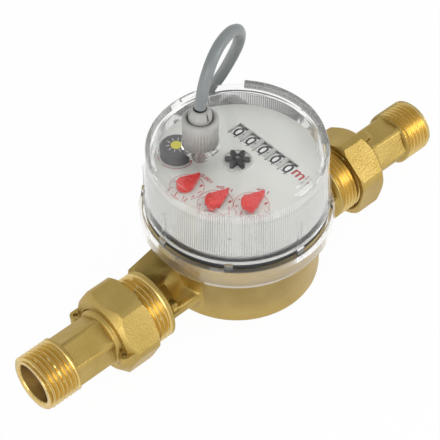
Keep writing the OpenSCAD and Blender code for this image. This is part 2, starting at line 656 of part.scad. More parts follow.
module sensor_core() color(grey_c) at_point(sensor_p, socket_low + 0.8)
    cylinder(r = core_r, h = core_top - socket_low - 0.8);
module sensor_head() color(grey_c) at_point(sensor_p, 0) difference() {
    union() {
        translate([0, 0, cup_top]) linear_extrude(height = head_h * 0.55) difference() {
            circle(r = head_r);
            for (k = [0:35]) rotate([0, 0, k * 10]) translate([head_r + 0.15, 0])
                rotate([0, 0, 45]) square(0.6, center = true);
        }
        translate([0, 0, cup_top + head_h * 0.55])
            turned([[0, 0], [head_r, 0], [head_r, head_h * 0.45 - 0.6],
                [head_r - 0.6, head_h * 0.45], [0, head_h * 0.45]]);
        translate([0, 0, cup_floor]) cylinder(r = head_r - 1.2, h = 5);
    }
    translate([0, 0, head_top - 1.2]) cylinder(r = head_r - 1.5, h = 3);
    translate([0, 0, cup_low - 1]) cylinder(r = cable_r + 0.3, h = head_h + 8);
}
module sensor_collet() color(grey_c) at_point(sensor_p, head_top - 1.2) difference() {
    turned([[cable_r + 0.3, 0], [collet_r, 0], [collet_r, 2.4], [collet_r - 0.5, 3.8],
        [cable_r + 1, 5], [cable_r + 0.3, 5.2]]);
    for (a = [30, 150, 270]) rotate([0, 0, a]) translate([cable_r + 0.9, -0.4, 1.6])
        cube([5, 0.8, 5]);
}

// Union ends

module tailpiece(inlet) color(brass_c) pipe_end(inlet) along(0) difference() {
    union() {
        turned([[0, washer_end], [tail_flange_r, washer_end],
            [tail_flange_r, washer_end + tail_flange_t - 0.4],
            [tail_flange_r - 0.4, washer_end + tail_flange_t],
            [tail_collar_r, washer_end + tail_flange_t], [tail_collar_r, tail_shank_in - 0.6],
            [tail_collar_r - 0.6, tail_shank_in], [0, tail_shank_in]]);
        intersection() {
            translate([0, 0, tail_shank_in - 1]) rotate([0, 0, inlet ? 0 : 30])
                linear_extrude(height = tail_thread_in - tail_shank_in + 2) hexagon(tail_af);
            translate([0, 0, tail_shank_in - 1])
                cylinder(r = tail_af / 2 + 1, h = tail_thread_in - tail_shank_in + 2);
        }
        turned([[0, tail_thread_in], [tail_thread_r - 1, tail_thread_in],
            [tail_thread_r, tail_thread_in + 0.6], [tail_thread_r, tail_end - 0.8],
            [tail_thread_r - 0.8, tail_end], [0, tail_end]]);
    }
    turned([[0, washer_end - 1], [bore_r, washer_end - 1], [bore_r, tail_end - 0.8],
        [bore_r + 0.9, tail_end + 0.1], [0, tail_end + 0.1]]);
}
module inlet_tailpiece() tailpiece(true);
module outlet_tailpiece() tailpiece(false);
module flat_washer(inlet) color(fibre_c) pipe_end(inlet) along(body_end)
    tube(arm_r - 0.9, bore_r + 0.5, washer_t);
module inlet_washer() flat_washer(true);
module outlet_washer() flat_washer(false);
module union_nut(inlet, turn) color(brass_c) pipe_end(inlet) along(nut_in)
    rotate([0, 0, 30 - turn]) difference() {
        union() {
            intersection() {
                linear_extrude(height = nut_len) hexagon(nut_af);
                turned([[0, 0], [nut_corner_r - 0.8, 0], [nut_corner_r, 0.8],
                    [nut_corner_r, nut_len - 2.8], [nut_af / 2 - 1.3, nut_len], [0, nut_len]]);
            }
            // two ears for a sealing wire, at opposite corners
            for (a = [0, 180]) rotate([0, 0, a]) translate([0, ear_t / 2, 0]) rotate([90, 0, 0])
                linear_extrude(height = ear_t) difference() {
                    union() {
                        translate([ear_r - ear_half, nut_len - 4]) square([2 * ear_half, 5]);
                        translate([ear_r, nut_len + 1]) circle(r = ear_half);
                    }
                    translate([ear_r, nut_len + 1.1]) circle(r = 0.9);
                }
        }
        translate([0, 0, -1]) cylinder(r = nut_bore_r, h = nut_len - nut_lip + 1);
        translate([0, 0, -1]) cylinder(r = nut_hole_r, h = nut_len + 2 * ear_half + 2);
        turned([[0, -0.1], [nut_bore_r + 1.1, -0.1], [nut_bore_r, 1], [0, 1]]);
    }
module inlet_nut() union_nut(true, inlet_nut_turn);
module outlet_nut() union_nut(false, outlet_nut_turn);

// Cable, its coil on the floor and its bare wire ends

module cable() color(grey_c) at_axis() polyhedron(points = cable_points, faces = cable_faces);
module cable_coil() color(grey_c) translate([coil_at[0], coil_at[1], coil_low])
    rotate_extrude() translate([coil_r, 0]) polygon(concat(
        arc([coil_wide / 2 - cable_r, cable_r], cable_r, -90, 0, 4),
        arc([coil_wide / 2 - cable_r, coil_high - cable_r], cable_r, 0, 90, 4),
        arc([cable_r - coil_wide / 2, coil_high - cable_r], cable_r, 90, 180, 4),
        arc([cable_r - coil_wide / 2, cable_r], cable_r, 180, 270, 4)));
module cable_tie() color(black_c) translate([coil_at[0], coil_at[1], 0])
    rotate([0, 0, tie_a]) translate([coil_r, tie_w / 2, coil_low + coil_high / 2])
        rotate([90, 0, 0]) linear_extrude(height = tie_w) difference() {
            square([coil_wide + 0.4 + 2 * tie_t, coil_high + 2 * tie_t], center = true);
            square([coil_wide + 0.4, coil_high + 0.02], center = true);
        }
module wire_ends() color([0.6, 0.3, 0.2]) translate([coil_at[0], coil_at[1], 0])
    rotate([0, 0, 100]) for (s = [-1, 1])
        translate([coil_r - coil_wide / 2 + 1, s * 1.2, coil_low + cable_r])
            rotate([0, -90, 0]) {
                cylinder(r = wire_r, h = wire_len);
                translate([0, 0, wire_len]) cylinder(r = tip_r, h = tip_len);
            }

body();
inlet_strainer();
impeller_pivot();
separator_plate();
body_seal();
register_case();
gear_deck();
dial_plate();
cover();
clamp_ring();
cover_gasket();
roller_shaft();
carry_shaft();
carry_pinions();
sensor_core();
sensor_head();
sensor_collet();
inlet_tailpiece();
outlet_tailpiece();
inlet_washer();
outlet_washer();
cable();
cable_coil();
cable_tie();
wire_ends();
impeller();
drive_magnet();
star_spindle();
follower_magnet();
flow_star();
idler_0();
idler_1();
idler_2();
idler_3();
disc_wheel();
pulse_disc();
pulse_magnet();
wheel_1();
wheel_2();
wheel_3();
pointer_1();
pointer_2();
pointer_3();
roller_1();
roller_2();
roller_3();
roller_4();
roller_5();
inlet_nut();
outlet_nut();
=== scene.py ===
# %% [markdown]
# # Dressing a brass water meter
# The solids of the meter arrive as a fixed frame: a brass body between two threaded unions, a clear
# cover over a dial, and a pulse sensor on a grey cable. This lesson gives them their finishes and adds
# what is too fine for the solids, such as screw threads, ribs in the plastic and print on the dial.
# The scene is in metres. Sizes are written in millimetres, and heights are counted from the pipe axis.
# The pipe runs along X, Z is up, and the dial is read from the inlet, on the -X side.

import json
import math

import bmesh
import bpy
from mathutils import Matrix, Vector

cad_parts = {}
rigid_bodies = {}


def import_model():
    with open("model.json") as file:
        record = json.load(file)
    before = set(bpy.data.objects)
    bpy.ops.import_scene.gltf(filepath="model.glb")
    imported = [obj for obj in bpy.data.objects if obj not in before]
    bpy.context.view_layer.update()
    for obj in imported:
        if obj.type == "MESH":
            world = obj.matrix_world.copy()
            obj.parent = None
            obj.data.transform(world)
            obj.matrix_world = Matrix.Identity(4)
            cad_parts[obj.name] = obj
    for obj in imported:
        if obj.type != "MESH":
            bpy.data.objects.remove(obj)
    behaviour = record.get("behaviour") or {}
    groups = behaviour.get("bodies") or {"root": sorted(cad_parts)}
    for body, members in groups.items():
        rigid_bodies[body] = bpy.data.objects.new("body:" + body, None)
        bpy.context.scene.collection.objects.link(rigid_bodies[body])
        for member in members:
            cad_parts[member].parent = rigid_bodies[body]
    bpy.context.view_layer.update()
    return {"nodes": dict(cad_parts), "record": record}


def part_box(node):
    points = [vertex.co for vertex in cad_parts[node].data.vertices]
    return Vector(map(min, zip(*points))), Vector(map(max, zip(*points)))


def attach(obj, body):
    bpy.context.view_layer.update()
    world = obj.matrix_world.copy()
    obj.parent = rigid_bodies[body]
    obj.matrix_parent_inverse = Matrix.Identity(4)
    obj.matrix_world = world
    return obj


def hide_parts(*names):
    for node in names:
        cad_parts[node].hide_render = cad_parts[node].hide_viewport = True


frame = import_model()
MM = 0.001
tail_low, tail_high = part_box("inlet_tailpiece")
AXIS_Z = (tail_low[2] + tail_high[2]) / 2
scene_objects = bpy.context.scene.collection.objects


def from_axis(x, y, z):
    """A point in millimetres, with its height counted from the pipe axis, in the frame's metres."""
    return Vector((x * MM, y * MM, z * MM + AXIS_Z))


print("pipe axis is", round(AXIS_Z / MM, 2), "mm above the floor")

# %% [markdown]
# ## The camera
# The photograph was taken from the left front, looking down at about 47 degrees with a long lens.
# A camera needs a place, a direction and a lens. It could be dragged about until the view fits; here
# the place is worked out from two angles and the distance to a point above the pipe axis, which keeps
# the numbers readable, and two small offsets put the meter where it sits in the picture.

# %% The camera
AZIMUTH = math.radians(-42.77)
ELEVATION = math.radians(46.9)
LOOK_AT = from_axis(0, 0, 16.6)
CAMERA_DISTANCE = 552.5 * MM
FRAME_RIGHT = 6.06 * MM
FRAME_UP = 2.5 * MM
FOCAL_PIXELS = 1535
IMAGE_PIXELS = 440
SENSOR_WIDTH = 36
NEAREST_SEEN = 10 * MM

right = Vector((math.cos(AZIMUTH), math.sin(AZIMUTH), 0))
back = Vector((
    math.sin(AZIMUTH) * math.cos(ELEVATION),
    -math.cos(AZIMUTH) * math.cos(ELEVATION),
    math.sin(ELEVATION),
))
up = back.cross(right)
eye = LOOK_AT - right * FRAME_RIGHT - up * FRAME_UP + back * CAMERA_DISTANCE
camera_data = bpy.data.cameras.new("camera")
camera_data.sensor_width = SENSOR_WIDTH
camera_data.lens = SENSOR_WIDTH * FOCAL_PIXELS / IMAGE_PIXELS
camera_data.clip_start = NEAREST_SEEN
camera = bpy.data.objects.new("camera", camera_data)
turn = Matrix((right, up, back)).transposed()
camera.matrix_world = Matrix.Translation(eye) @ turn.to_4x4()
scene_objects.link(camera)
bpy.context.scene.camera = camera
print("lens", round(camera_data.lens, 1), "mm")

# %% [markdown]
# ## Pieces
# A piece is a mesh or a curve that rides on one body of the frame, so that it moves when the body
# does. Most pieces here are meshes from lists of points and faces that a formula gives. One helper
# makes such a mesh and turns its faces outwards, which clear plastic needs, and another puts it into
# the scene.

# %% Pieces
PIECE_CREASE = 35


def closed_mesh(name, points, faces):
    """A mesh from points and faces, with every face turned outwards."""
    mesh = bpy.data.meshes.new(name)
    mesh.from_pydata([tuple(p) for p in points], [], faces)
    shape = bmesh.new()
    shape.from_mesh(mesh)
    bmesh.ops.recalc_face_normals(shape, faces=shape.faces)
    shape.to_mesh(mesh)
    shape.free()
    return mesh


def shade_round(mesh, crease):
    """Smooth shading, with a crease where two faces meet at more than that many degrees."""
    mesh.shade_smooth()
    mesh.set_sharp_from_angle(angle=math.radians(crease))


def place(name, data, body):
    """Puts a mesh or a curve into the scene as a piece that rides on a body."""
    piece = bpy.data.objects.new(name, data)
    scene_objects.link(piece)
    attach(piece, body)
    return piece


def add_piece(name, shape, body, material, smooth=True):
    """A mesh piece from a shape's points and faces, with one finish."""
    mesh = closed_mesh(name, *shape)
    if smooth:
        shade_round(mesh, PIECE_CREASE)
    mesh.materials.append(material)
    return place(name, mesh, body)


# %% [markdown]
# ## Shapes from points
# Nearly every small form on the meter is a row of rings with a skin over them: a round plate has two
# rings, a flat ring has four that join up again, and a screw thread has hundreds. Blender's own
# primitives could give some of them, but one loft gives them all, with the points where they belong.

# %% Shapes from points
def loft(rings, joined=False):
    """Points and faces of a skin over rings of equal length, with its ends closed or joined up."""
    count = len(rings[0])
    points = [p for ring in rings for p in ring]
    faces = []
    for i in range(len(rings) if joined else len(rings) - 1):
        low = i * count
        high = (i + 1) % len(rings) * count
        for k in range(count):
            n = (k + 1) % count
            faces.append((low + k, low + n, high + n, high + k))
    if not joined:
        faces.append(tuple(reversed(range(count))))
        faces.append(tuple(range(len(points) - count, len(points))))
    return points, faces


def join_shapes(shapes):
    """One list of points and faces from several."""
    points, faces = [], []
    for shape_points, shape_faces in shapes:
        start = len(points)
        points += shape_points
        faces += [tuple(start + i for i in face) for face in shape_faces]
    return points, faces


def circle(centre, radius, z, steps):
    """Points round an upright axis."""
    angles = [2 * math.pi * k / steps for k in range(steps)]
    return [
        from_axis(centre[0] + radius * math.cos(a), centre[1] + radius * math.sin(a), z) for a in angles
    ]


def flat_ring(centre, r_out, r_in, z_low, z_high, steps=96):
    """A flat ring about an upright axis."""
    section = ((r_out, z_low), (r_out, z_high), (r_in, z_high), (r_in, z_low))
    return loft([circle(centre, radius, z, steps) for radius, z in section], joined=True)


def disc(centre, radius, z_low, z_high, steps=32):
    """A flat round plate about an upright axis."""
    return loft([circle(centre, radius, z, steps) for z in (z_low, z_high)])


def slab(corners, z_low, z_high):
    """A flat plate with straight edges."""
    return loft([[from_axis(x, y, z) for x, y in corners] for z in (z_low, z_high)])


print("a round plate has", len(disc((0, 0), 1, 0, 1)[0]), "points")

# %% [markdown]
# ## Shader sums
# A finish is a small network of nodes. It could be wired up by hand in the shader editor; writing it
# as Python sums keeps it short and readable. A value wraps an output socket, and adding or multiplying
# values adds the Math nodes. The reflected forms let a plain number stand on the left.

# %% Shader sums
class Value:
    """An output socket that can be used in sums."""

    def __init__(self, graph, socket):
        self.graph = graph
        self.socket = socket

    def _sum(self, operation, a, b):
        return self.graph.node("ShaderNodeMath", {"operation": operation}, {0: a, 1: b})

    def __add__(self, other):
        return self._sum("ADD", self, other)

    def __radd__(self, other):
        return self._sum("ADD", other, self)

    def __sub__(self, other):
        return self._sum("SUBTRACT", self, other)

    def __rsub__(self, other):
        return self._sum("SUBTRACT", other, self)

    def __mul__(self, other):
        return self._sum("MULTIPLY", self, other)

    def __rmul__(self, other):
        return self._sum("MULTIPLY", other, self)


print("reflected forms:", [name for name in vars(Value) if name.startswith("__r")])

# %% [markdown]
# ## Networks of nodes
# Every other node comes from one method, which sets the node's options first and then its inputs. The
# same network class serves the materials and the sky, and a material adds its surface shader to it.

# %% Networks of nodes
class Graph:
    """A network of nodes under construction."""

    def __init__(self, tree):
        self.tree = tree

    def node(self, kind, settings, inputs, output=0):
        """Adds a node, sets its options and then its inputs, and returns one output as a value."""
        node = self.tree.nodes.new(kind)
        for key, value in settings.items():
            if key == "stops":
                self._set_stops(node.color_ramp, value)
            else:
                setattr(node, key, value)
        for key, value in inputs.items():
            self.feed(node.inputs[key], value)
        return Value(self, node.outputs[output])

    def _set_stops(self, ramp, stops):
        while len(ramp.elements) < len(stops):
            ramp.elements.new(0.5)
        for element, (position, colour) in zip(ramp.elements, stops):
            element.position = position
            element.color = (*colour, 1)

    def feed(self, socket, value):
        """Links a value to a socket, or sets a plain number or colour on it."""
        if isinstance(value, Value):
            self.tree.links.new(value.socket, socket)
        elif hasattr(value, "__len__") and len(value) == 3 and socket.type == "RGBA":
            socket.default_value = (*value, 1)
        else:
            socket.default_value = value

    def ramp(self, value, *stops):
        """A colour between stops."""
        return self.node("ShaderNodeValToRGB", {"stops": stops}, {0: value})


class Finish(Graph):
    """A material under construction."""

    def __init__(self, name):
        self.material = bpy.data.materials.new(name)
        self.material.use_nodes = True
        super().__init__(self.material.node_tree)
        self.surface = self.tree.nodes["Principled BSDF"]

    def noise(self, scale, detail=3, stretch=None):
        """A noise over the object's own coordinates, from 0 to 1."""
        where = self.node("ShaderNodeTexCoord", {}, {}, "Object")
        if stretch:
            where = self.node("ShaderNodeMapping", {}, {"Vector": where, "Scale": stretch})
        return self.node("ShaderNodeTexNoise", {}, {"Vector": where, "Scale": scale, "Detail": detail})

    def bump(self, height, strength, distance):
        """A normal that follows a height."""
        return self.node(
            "ShaderNodeBump", {}, {"Height": height, "Strength": strength, "Distance": distance}
        )

    def set(self, **inputs):
        """Feeds the surface shader: base_color becomes its Base Color, and so on."""
        for key, value in inputs.items():
            name = " ".join(word.capitalize() for word in key.split("_"))
            self.feed(self.surface.inputs[{"Ior": "IOR"}.get(name, name)], value)
        return self.material


print("kinds of network:", [kind.__name__ for kind in (Graph, Finish)])

# %% [markdown]
# ## Brass and steel
# The body, the nuts and the tails are hot-pressed or cast brass with a blasted, slightly grainy skin.
# The threads and the ends of the tails are turned bright, and the bores are a darker, duller brown. The
# shafts and the wire tips are steel or tinned. A picture of metal could be wrapped round them; here two
# close tones and noise in the gloss and the bump do it, in the object's own coordinates, so that
# nothing has to be unwrapped.

# %% Brass and steel finishes
def cast_brass(name):
    """Blasted brass: wide mottling in the colour, fine grain in gloss and bump."""
    finish = Finish(name)
    mottling = finish.noise(90, 4)
    grain = finish.noise(1400, 4)
    return finish.set(
        base_color=finish.ramp(mottling, (0.3, (0.45, 0.315, 0.088)), (0.7, (0.53, 0.385, 0.125))),
        metallic=1.0,
        roughness=grain * 0.2 + 0.36,
        normal=finish.bump(grain, 0.5, 0.00025),
    )


def turned_brass(name):
    """Bright brass with the fine rings that a lathe leaves round X."""
    finish = Finish(name)
    rings = finish.noise(600, 2, stretch=(6, 0.4, 0.4))
    return finish.set(
        base_color=finish.ramp(rings, (0.3, (0.66, 0.48, 0.17)), (0.7, (0.8, 0.6, 0.24))),
        metallic=1.0,
        roughness=rings * 0.12 + 0.24,
        normal=finish.bump(rings, 0.1, 0.0001),
    )


def bore_brass(name):
    """Darker, duller brass for the inside of a bore."""
    finish = Finish(name)
    # a darker, duller brown than the outside brass, in a wide mottle
    bore_mottle = finish.noise(180, 4)
    return finish.set(
        base_color=finish.ramp(bore_mottle, (0.3, (0.17, 0.095, 0.025)), (0.7, (0.27, 0.165, 0.05))),
        metallic=1.0,
        roughness=bore_mottle * 0.2 + 0.45,
        normal=finish.bump(bore_mottle, 0.2, 0.0002),
    )


def drawn_steel(name):
    """Bright drawn metal with faint streaks along Y."""
    finish = Finish(name)
    draw = finish.noise(500, 2, stretch=(1, 0.1, 1))
    return finish.set(
        base_color=finish.ramp(draw, (0.3, (0.5, 0.5, 0.51)), (0.7, (0.58, 0.58, 0.59))),
        metallic=1.0,
        roughness=draw * 0.15 + 0.22,
    )


BRASS = cast_brass("cast_brass")
BORE_BRASS = bore_brass("bore_brass")
THREAD_BRASS = turned_brass("turned_brass")
STEEL = drawn_steel("drawn_steel")
TINNED = drawn_steel("tinned_tip")
print("metal finishes:", [metal.name for metal in (BRASS, BORE_BRASS, THREAD_BRASS, STEEL, TINNED)])

# %% [markdown]
# ## Clear plastic
# The cover and its ring are glassy plastic. A true refractive index would be about 1.5, but that would
# smear the dial and darken the edges of the wall, so the light is bent less here. A coat gives the
# gloss back to cover and ring, and a share of the light is scattered, as in milk, which is what makes
# the ribs look white.

# %% Clear plastic finishes
def clear_plastic(name, tint, haze, milk, bend=1.1, gloss=0.5):
    """Thin clear plastic: it bends light little, has a glossy skin and scatters a share as milk."""
    finish = Finish(name)
    skin = finish.noise(300, 2)
    return finish.set(
        base_color=tint,
        roughness=skin * haze + 0.02,
        transmission_weight=1 - milk,
        ior=bend,
        coat_weight=gloss,
        coat_roughness=0.04,
    )


CLEAR = clear_plastic("clear_cover", (0.995, 0.995, 0.99), 0.03, 0.012)
RIB_CLEAR = clear_plastic("ribbed_cover", (0.99, 0.99, 0.98), 0.05, 0.16, bend=1.15, gloss=0.0)
CLEAR_RING = clear_plastic("clear_ring", (0.99, 0.99, 0.98), 0.03, 0.04, bend=1.28, gloss=0.6)
FROSTED = clear_plastic("frosted_lip", (0.5, 0.5, 0.49), 0.4, 0.3)
print("clear finishes:", [clear.name for clear in (CLEAR, RIB_CLEAR, CLEAR_RING, FROSTED)])

# %% [markdown]
# ## Moulded plastic, rubber and ink
# Most other pieces are moulded: the grey sensor, the white dial and rollers, the red pointers, the
# black gasket. Each could have a network of its own, but they differ only in tone and gloss, so one
# function makes them all from a dark and a light tone. It clouds the colour a little and gives the
# skin a fine grain, because a single flat colour looks like paint. Ink is made in the same way.

# %% Moulded plastic, rubber and ink finishes
def moulded(name, dark, light, roughness, grain=900, lift=0.02):
    """A moulded plastic or rubber: two close tones, a fine skin and a little unevenness in its gloss."""
    finish = Finish(name)
    cloud = finish.noise(120)
    skin = finish.noise(grain)
    return finish.set(
        base_color=finish.ramp(cloud, (0.3, dark), (0.7, light)),
        roughness=skin * 0.12 + (roughness - 0.06),
        normal=finish.bump(skin, lift, 0.0002),
    )


DIAL_WHITE = moulded("dial_white", (0.7, 0.71, 0.67), (0.73, 0.74, 0.7), 0.55)
CASE_WHITE = moulded("case_white", (0.78, 0.785, 0.75), (0.82, 0.825, 0.79), 0.5)
ROLLER_WHITE = moulded("roller_white", (0.87, 0.88, 0.87), (0.9, 0.905, 0.89), 0.5)
GEAR_CREAM = moulded("gear_cream", (0.72, 0.69, 0.58), (0.77, 0.74, 0.64), 0.45)
RED_PLASTIC = moulded("red_pointer", (0.66, 0.01, 0.006), (0.75, 0.016, 0.011), 0.28)
BLACK_PLASTIC = moulded("black_star", (0.006, 0.007, 0.007), (0.011, 0.012, 0.012), 0.5)
BLACK_RUBBER = moulded("black_gasket", (0.012, 0.012, 0.012), (0.02, 0.02, 0.02), 0.55)
FIBRE = moulded("fibre_washer", (0.1, 0.08, 0.06), (0.15, 0.12, 0.09), 0.8, 1500, 0.2)
HEAD_GREY = moulded("sensor_grey", (0.36, 0.355, 0.335), (0.41, 0.405, 0.385), 0.42)
CORE_GREY = moulded("capsule_grey", (0.26, 0.235, 0.22), (0.3, 0.275, 0.26), 0.4)
DRUM_GREY = moulded("drum_grey", (0.06, 0.062, 0.066), (0.078, 0.08, 0.084), 0.42)
CABLE_GREY = moulded("cable_grey", (0.195, 0.212, 0.212), (0.23, 0.247, 0.247), 0.36, 1200, 0.05)
MAGNET = moulded("ferrite", (0.03, 0.03, 0.033), (0.05, 0.05, 0.055), 0.6)
TIE_BLACK = moulded("tie_black", (0.015, 0.015, 0.015), (0.025, 0.025, 0.025), 0.45)
WIRE_BROWN = moulded("wire_brown", (0.16, 0.06, 0.02), (0.2, 0.08, 0.03), 0.4)
WIRE_WHITE = moulded("wire_white", (0.7, 0.7, 0.68), (0.76, 0.76, 0.74), 0.4)
RED_INK = moulded("red_ink", (0.42, 0.012, 0.022), (0.5, 0.02, 0.032), 0.6)
BLACK_INK = moulded("black_ink", (0.018, 0.018, 0.02), (0.03, 0.03, 0.032), 0.6)
# grey for the roller bands, and painted shade on the dial's webs between the windows
GREY_BANDS_AND_WEB_SHADE = moulded("grey_bands_and_web_shade", (0.47, 0.48, 0.46), (0.51, 0.52, 0.5), 0.6)
YELLOW_INK = moulded("yellow_ink", (0.68, 0.62, 0.03), (0.74, 0.68, 0.05), 0.6)
WHITE_INK = moulded("white_ink", (0.72, 0.72, 0.72), (0.78, 0.78, 0.78), 0.6)
print("finishes so far:", len(bpy.data.materials))

# %% [markdown]
# ## Finishes on the solids
# Each solid of the frame keeps its shape and gets one finish. A table of finish and pieces is easier
# to read, and to change, than a line for every solid.

# %% Finishes on the solids
POINTERS = (1, 2, 3)
ROLLERS = (1, 2, 3, 4, 5)
NODE_FINISH = {
    BRASS: ["body", "inlet_tailpiece", "outlet_tailpiece", "inlet_nut", "outlet_nut"],
    CLEAR: ["cover"],
    CLEAR_RING: ["clamp_ring"],
    DIAL_WHITE: ["dial_plate"],
    CASE_WHITE: ["register_case", "gear_deck", "separator_plate", "inlet_strainer", "impeller"],
    ROLLER_WHITE: [f"roller_{n}" for n in ROLLERS],
    GEAR_CREAM: ["carry_pinions", "disc_wheel", "idler_0"]
    + [f"{wheel}_{n}" for n in POINTERS for wheel in ("idler", "wheel")],
    RED_PLASTIC: [f"pointer_{n}" for n in POINTERS],
    BLACK_PLASTIC: ["flow_star"],
    BLACK_RUBBER: ["body_seal", "cover_gasket"],
    FIBRE: ["inlet_washer", "outlet_washer"],
    HEAD_GREY: ["sensor_head", "sensor_collet"],
    CORE_GREY: ["sensor_core"],
    DRUM_GREY: ["pulse_disc"],
    CABLE_GREY: ["cable", "cable_coil"],
    MAGNET: ["drive_magnet", "follower_magnet", "pulse_magnet"],
    STEEL: ["impeller_pivot", "roller_shaft", "carry_shaft", "star_spindle"],
    TIE_BLACK: ["cable_tie"],
    WIRE_BROWN: ["wire_ends"],
}
for material, names in NODE_FINISH.items():
    for name in names:
        slots = frame["nodes"][name].data.materials
        slots.clear()
        slots.append(material)
print("finished solids:", sum(len(names) for names in NODE_FINISH.values()))

# %% [markdown]
# ## The cable's route
# A grey two-core cable leaves the sensor's collet, makes a loop in the air and runs down behind the
# cover to the floor. A cable could hang by simulation, but this one is stiff and short, so its points
# are listed, the same as for the solids, and a smooth line is drawn through them.

# %% The cable's route
ROUTE_STEPS = 8
ROUTE = [
    (-11.1, 6.7, 70.7), (-10.7, 6.4, 74.5), (-9.9, 6, 80), (-8.1, 6, 85), (-4.8, 7, 88.6),
    (0.3, 9, 90.3), (6.4, 11.2, 90), (11.4, 13, 87.4), (14.6, 15, 83.2), (16.3, 16.8, 78.5),
    (17.7, 19.6, 72), (18.4, 23.8, 62.8), (18, 27.5, 54.4), (17, 30.5, 47.6), (16.5, 32.8, 40),
    (16, 34.8, 32), (16, 36.6, 24), (15.7, 38.8, 15), (15, 41.5, 7), (14.3, 45.3, 0.6),
    (14.2, 50, -4.8), (15.6, 55.2, -8.4), (19.44, 62.1, -9.27),
]


def smooth_route(points):
    """A line through every point that turns evenly, as a springy cable does."""
    line = []
    padded = [2 * points[0] - points[1]] + points + [2 * points[-1] - points[-2]]
    for p0, p1, p2, p3 in zip(padded, padded[1:], padded[2:], padded[3:]):
        for k in range(ROUTE_STEPS):
            t = k / ROUTE_STEPS
            line.append(0.5 * (
                2 * p1 + (p2 - p0) * t + (2 * p0 - 5 * p1 + 4 * p2 - p3) * t * t
                + (3 * p1 - p0 - 3 * p2 + p3) * t * t * t
            ))
    return line + [points[-1]]


route_line = smooth_route([from_axis(*p) for p in ROUTE])
print("route points:", len(route_line))

# %% [markdown]
# ## The cable's coil
# The rest of the cable is wound up on the floor behind the meter. A loop works out its six turns. They
# lie in two layers of three, and each turn slips over into the next place a little earlier than the
# turn before it, so that no two turns cross at the same spot. The size comes from the coil's solid.

# %% The cable's coil
CABLE_R = 2.1
coil_low, coil_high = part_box("cable_coil")
COIL_X = (coil_low[0] + coil_high[0]) / 2
COIL_Y = (coil_low[1] + coil_high[1]) / 2
COIL_OUT = (coil_high[0] - coil_low[0]) / 2 - CABLE_R * MM
TURN_PITCH = 4.22 * MM
TURN_LOW = coil_low[2] + CABLE_R * MM
TURN_HIGH = coil_high[2] - CABLE_R * MM
# the places of the turns: outer top first, inner bottom last
PLACES = [
    (COIL_OUT, TURN_HIGH), (COIL_OUT, TURN_LOW),
    (COIL_OUT - TURN_PITCH, TURN_LOW), (COIL_OUT - TURN_PITCH, TURN_HIGH),
    (COIL_OUT - 2 * TURN_PITCH, TURN_HIGH), (COIL_OUT - 2 * TURN_PITCH, TURN_LOW),
]
# in degrees: where the coil is entered, where slips are counted from, and how long one takes
COIL_ENTRY = 150
SLIP_START = 120
SLIP_SPAN = 44
COIL_STEP = 4


def coil_point(turned):
    """A point of the coil after turning that many degrees from the entry."""
    swept = turned - (COIL_ENTRY - SLIP_START)
    turn_number = int(swept // 360)
    within = swept - 360 * turn_number
    slip_at = SLIP_SPAN * (len(PLACES) - 2 - turn_number)
    share = min(max((within - slip_at) / SLIP_SPAN, 0), 1)
    share = share * share * (3 - 2 * share)
    if turn_number < 0:
        turn_number, share = 0, 0
    start = PLACES[turn_number]
    end = PLACES[min(turn_number + 1, len(PLACES) - 1)]
    radius = start[0] + (end[0] - start[0]) * share
    height = start[1] + (end[1] - start[1]) * share
    angle = math.radians(COIL_ENTRY - turned)
    return Vector((COIL_X + radius * math.cos(angle), COIL_Y + radius * math.sin(angle), height))


coil_line = [coil_point(a) for a in range(COIL_STEP, 360 * len(PLACES), COIL_STEP)]
print("coil points:", len(coil_line))

# %% [markdown]
# ## The cable
# Route and coil are one curve with a round section, because a real cable has no joint where the coil
# begins. A mesh tube would do as well, but a curve keeps its section square to the line by itself.

# %% The cable
CURVE_ROUNDNESS = 5


def add_curve(name, points, radius, body, material):
    """A round bar along a line of points."""
    curve = bpy.data.curves.new(name, "CURVE")
    curve.dimensions = "3D"
    curve.bevel_depth = radius
    curve.bevel_resolution = CURVE_ROUNDNESS
    curve.use_fill_caps = True
    spline = curve.splines.new("POLY")
    spline.points.add(len(points) - 1)
    for target, p in zip(spline.points, points):
        target.co = (*p, 1)
    spline.use_smooth = True
    curve.materials.append(material)
    return place(name, curve, body)


cable_line = route_line + coil_line
cable = add_curve("cable_run", cable_line, CABLE_R * MM, "meter", CABLE_GREY)
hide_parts("cable", "cable_coil")
cable_end, before_end = cable_line[-1], cable_line[-2]
line_length = sum((b - a).length for a, b in zip(cable_line, cable_line[1:]))
print("cable line", round(line_length, 3), "m, ends at", [round(c / MM, 1) for c in cable_end])

# %% [markdown]
# ## The cable's bare end
# The two cores come out of the jacket inside the coil, each with a stripped and tinned tip. They are
# short curves of their own, which spread a little and bend in towards the middle of the coil.

# %% The cable's bare end
CORE_LEN = 14 * MM
CORE_R = 0.65 * MM
CORE_SHIFT = 1.0 * MM
CORE_SPREAD = 0.9
CORE_BEND = 5 * MM
CORE_STEPS = 14
IN_JACKET = 2 * MM
TIP_LEN = 6 * MM
TIP_R = 0.4 * MM
TIP_STEPS = 4

end_way = (cable_end - before_end).normalized()
end_side = Vector((-end_way.y, end_way.x, 0)) * CORE_SHIFT
inward = Vector((COIL_X - cable_end.x, COIL_Y - cable_end.y, 0)).normalized()
for label, sign, jacket in (("brown", 1, WIRE_BROWN), ("white", -1, WIRE_WHITE)):
    start = cable_end + end_side * sign - end_way * IN_JACKET
    line = []
    for k in range(CORE_STEPS + 1):
        t = k / CORE_STEPS
        bend = inward * (t * t * CORE_BEND) + end_side * sign * CORE_SPREAD * t
        line.append(start + end_way * (CORE_LEN * t) + bend)
    tip_way = (line[-1] - line[-2]).normalized()
    tip_line = [line[-1] + tip_way * TIP_LEN * k / TIP_STEPS for k in range(TIP_STEPS + 1)]
    add_curve(f"core_{label}", line, CORE_R, "meter", jacket)
    add_curve(f"tip_{label}", tip_line, TIP_R, "meter", TINNED)
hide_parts("wire_ends")

